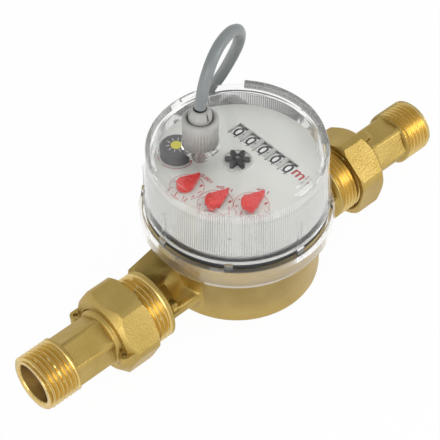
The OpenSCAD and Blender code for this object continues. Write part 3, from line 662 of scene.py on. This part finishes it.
# %% [markdown]
# ## Cutting from a solid
# A solid of the frame is never changed itself. Where a piece needs a cut that the solid lacks, a copy
# of it is cut with a boolean modifier, and the copy takes the solid's place. The faces of the cut
# bring their own finish along.

# %% Cutting from a solid
CUT_CREASE = 30


def cut_from(node, name, cutters, cut_finish):
    """A copy of a node's solid with shapes cut out of it, which takes the node's place."""
    cutter_mesh = closed_mesh("cutter", *join_shapes(cutters))
    cutter_mesh.materials.append(cut_finish)
    cutter = bpy.data.objects.new("cutter", cutter_mesh)
    blank = bpy.data.objects.new("blank", frame["nodes"][node].data.copy())
    for item in (cutter, blank):
        scene_objects.link(item)
    cut = blank.modifiers.new("cut", "BOOLEAN")
    cut.object = cutter
    cut.solver = "EXACT"
    cut.material_mode = "TRANSFER"
    graph = bpy.context.evaluated_depsgraph_get()
    mesh = bpy.data.meshes.new_from_object(blank.evaluated_get(graph))
    for item in (cutter, blank):
        bpy.data.objects.remove(item)
    shade_round(mesh, CUT_CREASE)
    piece = place(name, mesh, "meter")
    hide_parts(node)
    return piece


print("solids in the frame:", len(frame["nodes"]))

# %% [markdown]
# ## Screw threads
# The solids carry each thread as a plain cylinder at its crests. A bump map could fake the grooves,
# but not the notched outline that a thread shows. So a V-shaped bar is wound along the pipe as a helix
# and cut out, which gives a true thread with a start and a run-out. Pipe threads of this size have
# 14 turns to the inch and flanks 55 degrees apart.

# %% Screw threads
PITCH = 1.814
GROOVE = 0.64 * PITCH
FLANK = math.tan(math.radians(27.5))
CUT_LIFT = 0.18
ROOT_HALF = 0.083 * PITCH
CREST_HALF = ROOT_HALF + (GROOVE + CUT_LIFT) * FLANK
THREAD_STEPS = 40
TAIL_R, TAIL_FROM, TAIL_TO = 10.4775, 82.3, 96.2
ARM_R, ARM_FROM, ARM_TO = 13.22, 42.9, 56.2


def helix_bar(x_from, x_to, crest_r):
    """The V-shaped bar that cuts a thread along the pipe, from one place to another."""
    side = 1 if x_to > x_from else -1
    top, root = crest_r + CUT_LIFT, crest_r - GROOVE
    outline = ((top, -CREST_HALF), (top, CREST_HALF), (root, ROOT_HALF), (root, -ROOT_HALF))
    rings = []
    for k in range(int(abs(x_to - x_from) / PITCH * THREAD_STEPS) + 1):
        angle = 2 * math.pi * k / THREAD_STEPS
        x = x_from + side * PITCH * k / THREAD_STEPS
        rings.append([
            from_axis(x + dx, radius * math.cos(angle), side * radius * math.sin(angle))
            for radius, dx in outline
        ])
    return loft(rings)


def cut_threads(node, bars):
    """A node's solid with threads cut into it."""
    return cut_from(node, f"{node}_threaded", bars, THREAD_BRASS)


tails = [
    cut_threads("inlet_tailpiece", [helix_bar(-TAIL_FROM, -TAIL_TO, TAIL_R)]),
    cut_threads("outlet_tailpiece", [helix_bar(TAIL_FROM, TAIL_TO, TAIL_R)]),
]
body = cut_threads(
    "body", [helix_bar(-ARM_FROM, -ARM_TO, ARM_R), helix_bar(ARM_FROM, ARM_TO, ARM_R)],
)
print("faces of the threaded pieces:", [len(piece.data.polygons) for piece in (*tails, body)])

# %% [markdown]
# ## Bores and ends of the tails
# The end of each tail was faced on the lathe together with its thread, so it is as bright. The bore
# behind it is not turned, and gets a darker, duller brass. Both belong to one mesh, so the finish is
# chosen face by face, from where the face lies and which way it looks.

# %% Bores and ends of the tails
BORE_R = 7.6
END_X = 94.0
ACROSS = 0.7


def finish_tail(piece):
    """Gives a tail's bore the darker finish and its end face that of the thread, and counts both."""
    materials = piece.data.materials
    materials.append(BORE_BRASS)
    dull, bright = materials.find(BORE_BRASS.name), materials.find(THREAD_BRASS.name)
    counts = {dull: 0, bright: 0}
    for face in piece.data.polygons:
        away = math.hypot(face.center.y, face.center.z - AXIS_Z)
        is_across = abs(face.normal.x) > ACROSS
        if away < BORE_R * MM and not is_across:
            face.material_index = dull
            counts[dull] += 1
        elif is_across and abs(face.center.x) > END_X * MM:
            face.material_index = bright
            counts[bright] += 1
    return list(counts.values())


for tail in tails:
    print(tail.name, "bore and end faces:", finish_tail(tail))

# %% [markdown]
# ## Soft edges on the brass
# A casting has no sharp edges, and a small round catches the light along every corner. A bevel
# modifier makes it without touching the solid itself; a weld before it joins the solid's faces, which
# arrive apart. On the nuts it takes every sharp edge. On the tails it must leave the thread alone, so
# there it takes only the corners of the hex shank, found by their length and their distance from the
# pipe axis.

# %% Soft edges on the brass
NUT_ROUND, HEX_ROUND = 0.45, 0.8
ROUND_STEPS = 3
SHARP_TURN = math.radians(32)
CORNER_LEN = 5.0
CORNER_R = 9.5
CORNER_TURN = math.radians(12)
WELD_GAP = 1e-6


def soften(piece, width, limit):
    """Rounds a piece's edges with a modifier: all that are sharp, or those with a bevel weight."""
    weld = piece.modifiers.new("weld", "WELD")
    weld.merge_threshold = WELD_GAP
    bevel = piece.modifiers.new("soft_edges", "BEVEL")
    bevel.width = width * MM
    bevel.segments = ROUND_STEPS
    bevel.limit_method = limit
    bevel.angle_limit = SHARP_TURN
    bevel.harden_normals = True


def mark_hex_corners(mesh):
    """Gives the long corners of a hex shank a bevel weight, and says how many edges that is."""
    shape = bmesh.new()
    shape.from_mesh(mesh)
    weights = shape.edges.layers.float.new("bevel_weight_edge")
    marked = 0
    for edge in shape.edges:
        a, b = (v.co for v in edge.verts)
        is_long = abs(b.x - a.x) > CORNER_LEN * MM
        is_outside = math.hypot(a.y, a.z - AXIS_Z) > CORNER_R * MM
        if is_long and is_outside and edge.calc_face_angle(0) > CORNER_TURN:
            edge[weights] = 1
            edge.smooth = True
            marked += 1
    shape.to_mesh(mesh)
    shape.free()
    return marked


for name in ("inlet_nut", "outlet_nut"):
    soften(frame["nodes"][name], NUT_ROUND, "ANGLE")
for tail in tails:
    print(tail.name, "hex edges rounded:", mark_hex_corners(tail.data))
    soften(tail, HEX_ROUND, "WEIGHT")

# %% [markdown]
# ## Ribs in the clear cover
# The cover's wall has about 240 fine upright ribs inside, and a row of small teeth outside, just above
# the gasket. They could be bars, copied round the axis; a single ring with a zigzag on one side is
# lighter and has no gaps. The foot of the cover is moulded matt, so that the clear wall does not carry
# the black of the gasket up to its rim.

# %% Ribs in the clear cover
COVER_LOW, COVER_HIGH = 27.4, 49.5
COVER_R_LOW, COVER_R_HIGH = 33.0, 31.9
COVER_WALL = 1.6
RIB_COUNT, RIB_DEPTH, RIB_LOW, RIB_HIGH = 240, 0.45, 28.6, 47.0
TOOTH_COUNT, TOOTH_DEPTH, TOOTH_LOW, TOOTH_HIGH = 200, 0.2, 25.9, 27.3
ZIGZAG_SKIN, ZIGZAG_GAP = 0.1, 0.03
FOOT_OUT, FOOT_IN, FOOT_LOW, FOOT_HIGH = 32.95, 31.45, 25.6, 25.63


def cover_outside(z):
    """Radius of the cover's outer wall, which is upright at its foot and then leans in."""
    share = (z - COVER_LOW) / (COVER_HIGH - COVER_LOW)
    return COVER_R_LOW + (COVER_R_HIGH - COVER_R_LOW) * max(share, 0)


def cover_inside(z):
    """Radius of the cover's inner wall."""
    return cover_outside(z) - COVER_WALL


def zigzag_ring(z_low, z_high, count, wall, depth):
    """A ring of teeth just clear of a wall, which is a radius for each height; depth counts outwards."""
    steps = 2 * count
    gap, skin = math.copysign(ZIGZAG_GAP, depth), math.copysign(ZIGZAG_SKIN, depth)
    rings = []
    for z, is_tip in ((z_low, False), (z_high, False), (z_high, True), (z_low, True)):
        ring = []
        for k in range(steps):
            radius = wall(z) + gap + (skin + depth * (k % 2) if is_tip else 0)
            angle = 2 * math.pi * k / steps
            ring.append(from_axis(radius * math.cos(angle), radius * math.sin(angle), z))
        rings.append(ring)
    return loft(rings, joined=True)


ribs = zigzag_ring(RIB_LOW, RIB_HIGH, RIB_COUNT, cover_inside, -RIB_DEPTH)
teeth = zigzag_ring(TOOTH_LOW, TOOTH_HIGH, TOOTH_COUNT, cover_outside, TOOTH_DEPTH)
foot = flat_ring((0, 0), FOOT_OUT, FOOT_IN, FOOT_LOW, FOOT_HIGH)
add_piece("cover_ribs", ribs, "meter", RIB_CLEAR, smooth=False)
add_piece("cover_teeth", teeth, "meter", RIB_CLEAR, smooth=False)
add_piece("cover_foot", foot, "meter", CASE_WHITE)
print("ribs", RIB_COUNT, "teeth", TOOTH_COUNT)

# %% [markdown]
# ## The frosted lip
# The raised lip at the edge of the cover is frosted, so that a thumb can turn it. The lip is part of
# the clear solid, and each solid has one finish here, so a thin frosted skin round the lip, a little
# longer than the lip itself, gives it that look.

# %% The frosted lip
LIP_HALF_ANGLE = 42
SKIN_REACH = 1.004
LIP_LOW, LIP_HIGH = 51.05, 53.26
LIP_IN, LIP_OUT = 28.74, 30.66
LIP_STEPS = 48

lip_section = ((LIP_OUT, LIP_LOW), (LIP_OUT, LIP_HIGH), (LIP_IN, LIP_HIGH), (LIP_IN, LIP_LOW))
lip_rings = []
for k in range(LIP_STEPS + 1):
    angle = math.radians(LIP_HALF_ANGLE * (2 * k / LIP_STEPS - 1) * SKIN_REACH)
    lip_rings.append([from_axis(r * math.cos(angle), r * math.sin(angle), z) for r, z in lip_section])
lip = add_piece("lip_skin", loft(lip_rings), "meter", FROSTED)
print("lip points:", len(lip.data.vertices))

# %% [markdown]
# ## The sensor's seat
# The sensor's head rests on a clear cup, and the capsule can be seen in it. A spigot holds the head in
# the cup. Seen through the clear wall it would hide the capsule, so it is cut back to a short one.

# %% The sensor's seat
SENSOR_AT = (-11.1, 6.7)
CUP_TOP = 55.2
SPIGOT_LEFT = 0.9
CUTTER_R, CUTTER_DEPTH = 8, 6

spigot_cutter = disc(SENSOR_AT, CUTTER_R, CUP_TOP - CUTTER_DEPTH, CUP_TOP - SPIGOT_LEFT, steps=48)
head = cut_from("sensor_head", "sensor_head_seated", [spigot_cutter], HEAD_GREY)
print("head faces:", len(head.data.polygons))

# %% [markdown]
# ## Printed figures
# A printed figure is a text curve turned into a thin solid. It could stay a text, but as a mesh each
# of its points can go through a small function that lays it on the dial or wraps it round a number
# roller. Long strokes are split first, so that they can follow the roller's curve.

# %% Printed figures
HALF_DEPTH = 0.5
STROKE_WIDER = 0.012
CURVE_STEPS = 3
SPLITS = 12
MERGE_GAP = 1e-5


def text_shape(text):
    """A bmesh of a text as a solid, with its double points merged."""
    curve = bpy.data.curves.new("word", "FONT")
    curve.body = text
    curve.extrude = HALF_DEPTH
    curve.offset = STROKE_WIDER
    curve.resolution_u = CURVE_STEPS
    carrier = bpy.data.objects.new("word", curve)
    scene_objects.link(carrier)
    graph = bpy.context.evaluated_depsgraph_get()
    mesh = bpy.data.meshes.new_from_object(carrier.evaluated_get(graph))
    bpy.data.objects.remove(carrier)
    shape = bmesh.new()
    shape.from_mesh(mesh)
    bpy.data.meshes.remove(mesh)
    bmesh.ops.remove_doubles(shape, verts=shape.verts, dist=MERGE_GAP)
    return shape


def word_mesh(text):
    """Points and faces of a solid word, scaled to a unit cube with one corner at the origin."""
    shape = text_shape(text)
    low_y = min(v.co.y for v in shape.verts)
    high_y = max(v.co.y for v in shape.verts)
    for k in range(1, SPLITS):
        level = low_y + (high_y - low_y) * k / SPLITS
        everything = shape.verts[:] + shape.edges[:] + shape.faces[:]
        bmesh.ops.bisect_plane(shape, geom=everything, plane_co=(0, level, 0), plane_no=(0, 1, 0))
    low_x = min(v.co.x for v in shape.verts)
    high_x = max(v.co.x for v in shape.verts)
    shape.verts.index_update()
    points = [
        ((v.co.x - low_x) / (high_x - low_x), (v.co.y - low_y) / (high_y - low_y), v.co.z + HALF_DEPTH)
        for v in shape.verts
    ]
    faces = [tuple(v.index for v in face.verts) for face in shape.faces]
    shape.free()
    return points, faces


FIGURES = [word_mesh(str(n)) for n in range(10)]
print("points of the figures:", [len(points) for points, faces in FIGURES])

# %% [markdown]
# ## Print round the pointers
# Each pointer turns inside a thin red circle of ten small figures and has its multiplier beside it.
# The unit stands in red at the end of the number windows. All of it could be painted on in the dial's
# shader; as thin solid ink on top of the dial it has clean edges at any distance.

# %% Print round the pointers
DIAL_Z = 42.5
INK = 0.05
INK_GAP = 0.01
FIGURE_TURN = -36
FIGURE_CIRCLE, FIGURE_SIZE, FIGURE_HALF = 5.0, 1.2, 0.3
POINTER_RING_OUT, POINTER_RING_IN = 6.1, 5.94
DISC_RING_OUT, DISC_RING_IN = 6.75, 6.55
# each text with the start and the end of its line, and its height
RED_TEXTS = [
    ("x0.001", (-14.3, 5.1), (-14.2, -1.5), 1.5),
    ("x0.01", (-14.1, -4.0), (-11.7, -9.4), 1.5),
    ("x0.1", (-4.7, -14.2), (-3.4, -18.5), 1.5),
    ("m", (9.5, -16.7), (9.3, -21.3), 3.0),
    ("3", (11.3, -21.7), (11.25, -22.8), 1.7),
]
JOINTS = {joint["name"]: joint for joint in frame["record"]["behaviour"]["joints"]}


def joint_place(name):
    """Where a joint is, in millimetres, with its height from the pipe axis."""
    x, y, z = JOINTS[name]["pos_m"]
    return x / MM, y / MM, (z - AXIS_Z) / MM


def on_dial(word, start, end, height):
    """Lays a word flat on the dial, from a start to an end."""
    along = Vector((end[0] - start[0], end[1] - start[1]))
    rise = Vector((-along.y, along.x)).normalized() * height
    placed = [
        from_axis(
            start[0] + along.x * u + rise.x * v, start[1] + along.y * u + rise.y * v,
            DIAL_Z + INK_GAP + INK * w,
        )
        for u, v, w in word[0]
    ]
    return placed, word[1]


def small_figure(word, centre, size):
    """Lays one upright figure on the dial about a centre."""
    half = FIGURE_HALF * size
    start = (centre[0] - size / 2, centre[1] + half)
    return on_dial(word, start, (start[0], start[1] - 2 * half), size)


def inked(make, *sizes):
    """A flat shape of one ink's thickness on the dial."""
    return make(*sizes, DIAL_Z, DIAL_Z + INK)


red_shapes = []
for n in POINTERS:
    x, y, _ = joint_place(f"pointer_{n}_turn")
    red_shapes.append(inked(flat_ring, (x, y), POINTER_RING_OUT, POINTER_RING_IN))
    for k, figure in enumerate(FIGURES):
        angle = math.radians(FIGURE_TURN * k)
        centre = (x + FIGURE_CIRCLE * math.cos(angle), y + FIGURE_CIRCLE * math.sin(angle))
        red_shapes.append(small_figure(figure, centre, FIGURE_SIZE))
red_shapes += [on_dial(word_mesh(text), start, end, height) for text, start, end, height in RED_TEXTS]
disc_x, disc_y, _ = joint_place("pulse_disc_turn")
red_shapes.append(inked(flat_ring, (disc_x, disc_y), DISC_RING_OUT, DISC_RING_IN))
add_piece("print_red", join_shapes(red_shapes), "meter", RED_INK, smooth=False)
print("red shapes:", len(red_shapes))

# %% [markdown]
# ## Print and painted shade round the windows
# The rollers show through five windows. Grey bars of painted shade lie on the webs between them, for
# the shaded gaps between the rollers, each with a black dot; a row of small black dots runs below, and
# one short black dash lies near the middle of the dial. The places come from the rollers' own joints,
# so that print, painted shade and rollers stay in line.

# %% Print and painted shade round the windows
WINDOW_X = 11.3
WINDOW_HALF_X, WINDOW_HALF_Y = 3.1, 2.4
ROLLER_PITCH = 6.25
WEB_SHARE = 0.97
WEB_HALF = (ROLLER_PITCH / 2 - WINDOW_HALF_Y) * WEB_SHARE
WEB_DOT_X, WEB_DOT_Y, WEB_DOT_R = -0.6, 0.2, 0.26
ROW_BELOW, ROW_SHIFT, ROW_R = 0.45, 1.55, 0.3
ROW_X = WINDOW_X - WINDOW_HALF_X - ROW_BELOW
DASH = [(-1.0, -5.2), (-0.2, -5.2), (-0.2, -4.9), (-1.0, -4.9)]

black_shapes, web_shade_shapes = [inked(slab, DASH)], []
for n in ROLLERS:
    y = joint_place(f"roller_{n}_turn")[1]
    for shift in (ROW_SHIFT, -ROW_SHIFT):
        black_shapes.append(inked(disc, (ROW_X, y + shift), ROW_R))
    if n < ROLLERS[-1]:
        web = y - ROLLER_PITCH / 2
        corners = [
            (WINDOW_X + sx * WINDOW_HALF_X, web + sy * WEB_HALF)
            for sx, sy in ((-1, -1), (1, -1), (1, 1), (-1, 1))
        ]
        # a grey bar on the web is painted shade for the shaded gap between two rollers
        web_shade_shapes.append(inked(slab, corners))
        dot = (WINDOW_X + WEB_DOT_X, web + WEB_DOT_Y)
        black_shapes.append(disc(dot, WEB_DOT_R, DIAL_Z + INK, DIAL_Z + 2 * INK))
add_piece("print_black", join_shapes(black_shapes), "meter", BLACK_INK, smooth=False)
add_piece("painted_web_shade", join_shapes(web_shade_shapes), "meter", GREY_BANDS_AND_WEB_SHADE, smooth=False)
print("black shapes:", len(black_shapes), "grey shapes:", len(web_shade_shapes))

# %% [markdown]
# ## Figures on the number rollers
# Every roller carries the ten figures round its rim, 36 degrees apart, with the 0 on top at rest, and
# a grey band at each edge. They ride on the roller, so they turn with it. Each figure is bent round
# the rim, because a flat one would stand off at its top and bottom.

# %% Figures on the number rollers
ROLLER_R = 7.0
FIGURE_H, FIGURE_W = 4.8, 3.1
BAND_FROM, BAND_TO = 1.85, 2.85
BAND_OUT, BAND_IN = ROLLER_R + 0.03, ROLLER_R - 0.1
BAND_STEPS = 90


def round_roller(centre, radius, along, angle):
    """A point round a roller that lies along Y, with its angle counted from the top."""
    return from_axis(
        centre[0] + radius * math.sin(angle), centre[1] + along, centre[2] + radius * math.cos(angle),
    )


def on_roller(word, centre, turned):
    """Wraps a figure round a roller."""
    placed = []
    for u, v, w in word[0]:
        angle = math.radians(turned) + (v - 0.5) * FIGURE_H / ROLLER_R
        placed.append(round_roller(centre, ROLLER_R + INK_GAP + INK * w, (0.5 - u) * FIGURE_W, angle))
    return placed, word[1]


def roller_band(centre, side):
    """A printed band round one edge of a roller."""
    section = ((BAND_OUT, BAND_FROM), (BAND_OUT, BAND_TO), (BAND_IN, BAND_TO), (BAND_IN, BAND_FROM))
    angles = [2 * math.pi * k / BAND_STEPS for k in range(BAND_STEPS)]
    rings = [[round_roller(centre, radius, side * y, a) for a in angles] for radius, y in section]
    return loft(rings, joined=True)


for n in ROLLERS:
    roller = f"roller_{n}"
    centre = joint_place(f"{roller}_turn")
    wrapped = [on_roller(figure, centre, FIGURE_TURN * k) for k, figure in enumerate(FIGURES)]
    bands = [roller_band(centre, side) for side in (1, -1)]
    add_piece(f"figures_{n}", join_shapes(wrapped), roller, BLACK_INK, smooth=False)
    add_piece(f"bands_{n}", join_shapes(bands), roller, GREY_BANDS_AND_WEB_SHADE)
    print(roller, "is at y", round(centre[1], 2), "mm")

# %% [markdown]
# ## Pointer caps
# The red pointers are closed on top, so each gets a low dome over its arbor. It could be cut from a
# sphere; a loft of shrinking circles needs far fewer faces.

# %% Pointer caps
POINTER_TOP = 45.2
CAP_SHIFT, CAP_R, CAP_RISE = -0.8, 2.6, 0.5
SEATED = 0.02


def dome(centre, radius, z_low, rise, steps=32, levels=5):
    """A low dome on a round base."""
    leans = [math.pi / 2 * k / levels for k in range(levels)]
    return loft([
        circle(centre, radius * math.cos(lean), z_low + rise * math.sin(lean), steps) for lean in leans
    ])


for n in POINTERS:
    x, y, _ = joint_place(f"pointer_{n}_turn")
    cap = dome((x + CAP_SHIFT, y), CAP_R, POINTER_TOP - SEATED, CAP_RISE)
    add_piece(f"pointer_cap_{n}", cap, f"pointer_{n}", RED_PLASTIC)
    print("pointer", n, "turns about", round(x, 2), round(y, 2))

# %% [markdown]
# ## The sun on the pulse disc
# The pulse disc is dark grey with a printed sun: a yellow round and ten white rays, which make its
# turning easy to see. They are thin solid ink, as on the dial, and a loop spaces the rays evenly.

# %% The sun on the pulse disc
SUN_Z = 47.5
SUN_R = 2.0
RAYS = 10
RAY_FROM, RAY_TO = 2.5, 3.7
RAY_HALF, RAY_TAPER = 0.16, 0.4

sun_centre = Vector((disc_x, disc_y))
rays = []
for k in range(RAYS):
    way = Vector((math.cos(2 * math.pi * k / RAYS), math.sin(2 * math.pi * k / RAYS)))
    side = Vector((-way.y, way.x)) * RAY_HALF
    inner, outer = sun_centre + way * RAY_FROM, sun_centre + way * RAY_TO
    corners = [inner - side, outer - side * RAY_TAPER, outer + side * RAY_TAPER, inner + side]
    rays.append(slab([tuple(c) for c in corners], SUN_Z - SEATED, SUN_Z + INK))
sun = disc((disc_x, disc_y), SUN_R, SUN_Z - SEATED, SUN_Z + INK)
add_piece("sun_round", sun, "pulse_disc", YELLOW_INK, smooth=False)
add_piece("sun_rays", join_shapes(rays), "pulse_disc", WHITE_INK, smooth=False)
print("rays:", len(rays))

# %% [markdown]
# ## Studio lights
# The picture is a studio shot on white. A large soft light stands at the right front and a weaker one
# at the left. Round area lights give the soft shadows and broad highlights of a studio box, which a
# point or a sun could not.

# %% Studio lights
def add_light(name, stand, size, watts):
    """A round area light that looks at the meter."""
    light_data = bpy.data.lights.new(name, "AREA")
    light_data.shape = "DISK"
    light_data.size = size
    light_data.energy = watts
    light = bpy.data.objects.new(name, light_data)
    way = (LOOK_AT - Vector(stand)).to_track_quat("-Z", "Y")
    light.matrix_world = Matrix.Translation(stand) @ way.to_matrix().to_4x4()
    scene_objects.link(light)
    return light


key = add_light("key", stand=(0.55, -0.65, 0.4), size=0.4, watts=2.5)
fill = add_light("fill", stand=(-0.7, -0.35, 0.3), size=0.5, watts=2.2)
print("lights:", [(light.name, round(light.data.energy, 2)) for light in (key, fill)])

# %% [markdown]
# ## The sky
# Round the meter stands a white tent, greyer overhead, which the brass mirrors. The camera, and the
# light that has gone through the clear plastic, see plain white instead, as in the picture. The kind
# of ray tells the two apart.

# %% The sky
SKY_STRENGTH = 0.85
SKY_STOPS = ((0.0, (1.0, 1.0, 1.0)), (0.55, (0.93, 0.935, 0.94)), (1.0, (0.7, 0.705, 0.71)))


def ray_is(graph, kind):
    """1 for rays of a kind, such as Camera, and 0 for others."""
    return graph.node("ShaderNodeLightPath", {}, {}, f"Is {kind} Ray")


world = bpy.data.worlds.new("studio")
bpy.context.scene.world = world
world.use_nodes = True
sky = Graph(world.node_tree)
direction = sky.node("ShaderNodeTexCoord", {}, {}, "Generated")
height = sky.node("ShaderNodeSeparateXYZ", {}, {0: direction}, "Z")
tent = sky.ramp(height, *SKY_STOPS)
tent_light = sky.node("ShaderNodeBackground", {}, {"Color": tent, "Strength": SKY_STRENGTH})
white = sky.node("ShaderNodeBackground", {}, {"Color": (1, 1, 1), "Strength": 1.0})
seen = ray_is(sky, "Camera") + ray_is(sky, "Transmission")
sky_mix = sky.node("ShaderNodeMixShader", {}, {0: seen, 1: tent_light, 2: white})
sky.feed(sky.tree.nodes["World Output"].inputs["Surface"], sky_mix)
print("sky nodes:", len(sky.tree.nodes))

# %% [markdown]
# ## The floor
# The meter stands on a white table that runs out of the picture. Camera, clear plastic and brass see
# it almost as plain white, so that table and sky meet without a line. The rest is a matt surface,
# which keeps a little of the meter's shadow.

# %% The floor
FLOOR_WHITE = 0.97
FLOOR_HALF = 3.0

floor_paint = Finish("white_floor")
floor_paint.set(base_color=(0.86, 0.86, 0.86), roughness=0.9)
paint = Value(floor_paint, floor_paint.surface.outputs[0])
glow = floor_paint.node("ShaderNodeEmission", {}, {"Color": (1, 1, 1), "Strength": 1.0})
shown = ray_is(floor_paint, "Camera") + ray_is(floor_paint, "Transmission") + ray_is(floor_paint, "Glossy")
floor_mix = floor_paint.node("ShaderNodeMixShader", {}, {0: shown * FLOOR_WHITE, 1: paint, 2: glow})
floor_paint.feed(floor_paint.tree.nodes["Material Output"].inputs["Surface"], floor_mix)
floor_mesh = bpy.data.meshes.new("floor")
floor_mesh.from_pydata(
    [(x * FLOOR_HALF, y * FLOOR_HALF, 0) for x, y in ((-1, -1), (1, -1), (1, 1), (-1, 1))],
    [], [(0, 1, 2, 3)],
)
floor_mesh.materials.append(floor_paint.material)
floor = bpy.data.objects.new("floor", floor_mesh)
scene_objects.link(floor)
bpy.context.scene.view_settings.view_transform = "Standard"
print("floor is", 2 * FLOOR_HALF, "m wide")

# %% [markdown]
# ## The finished meter
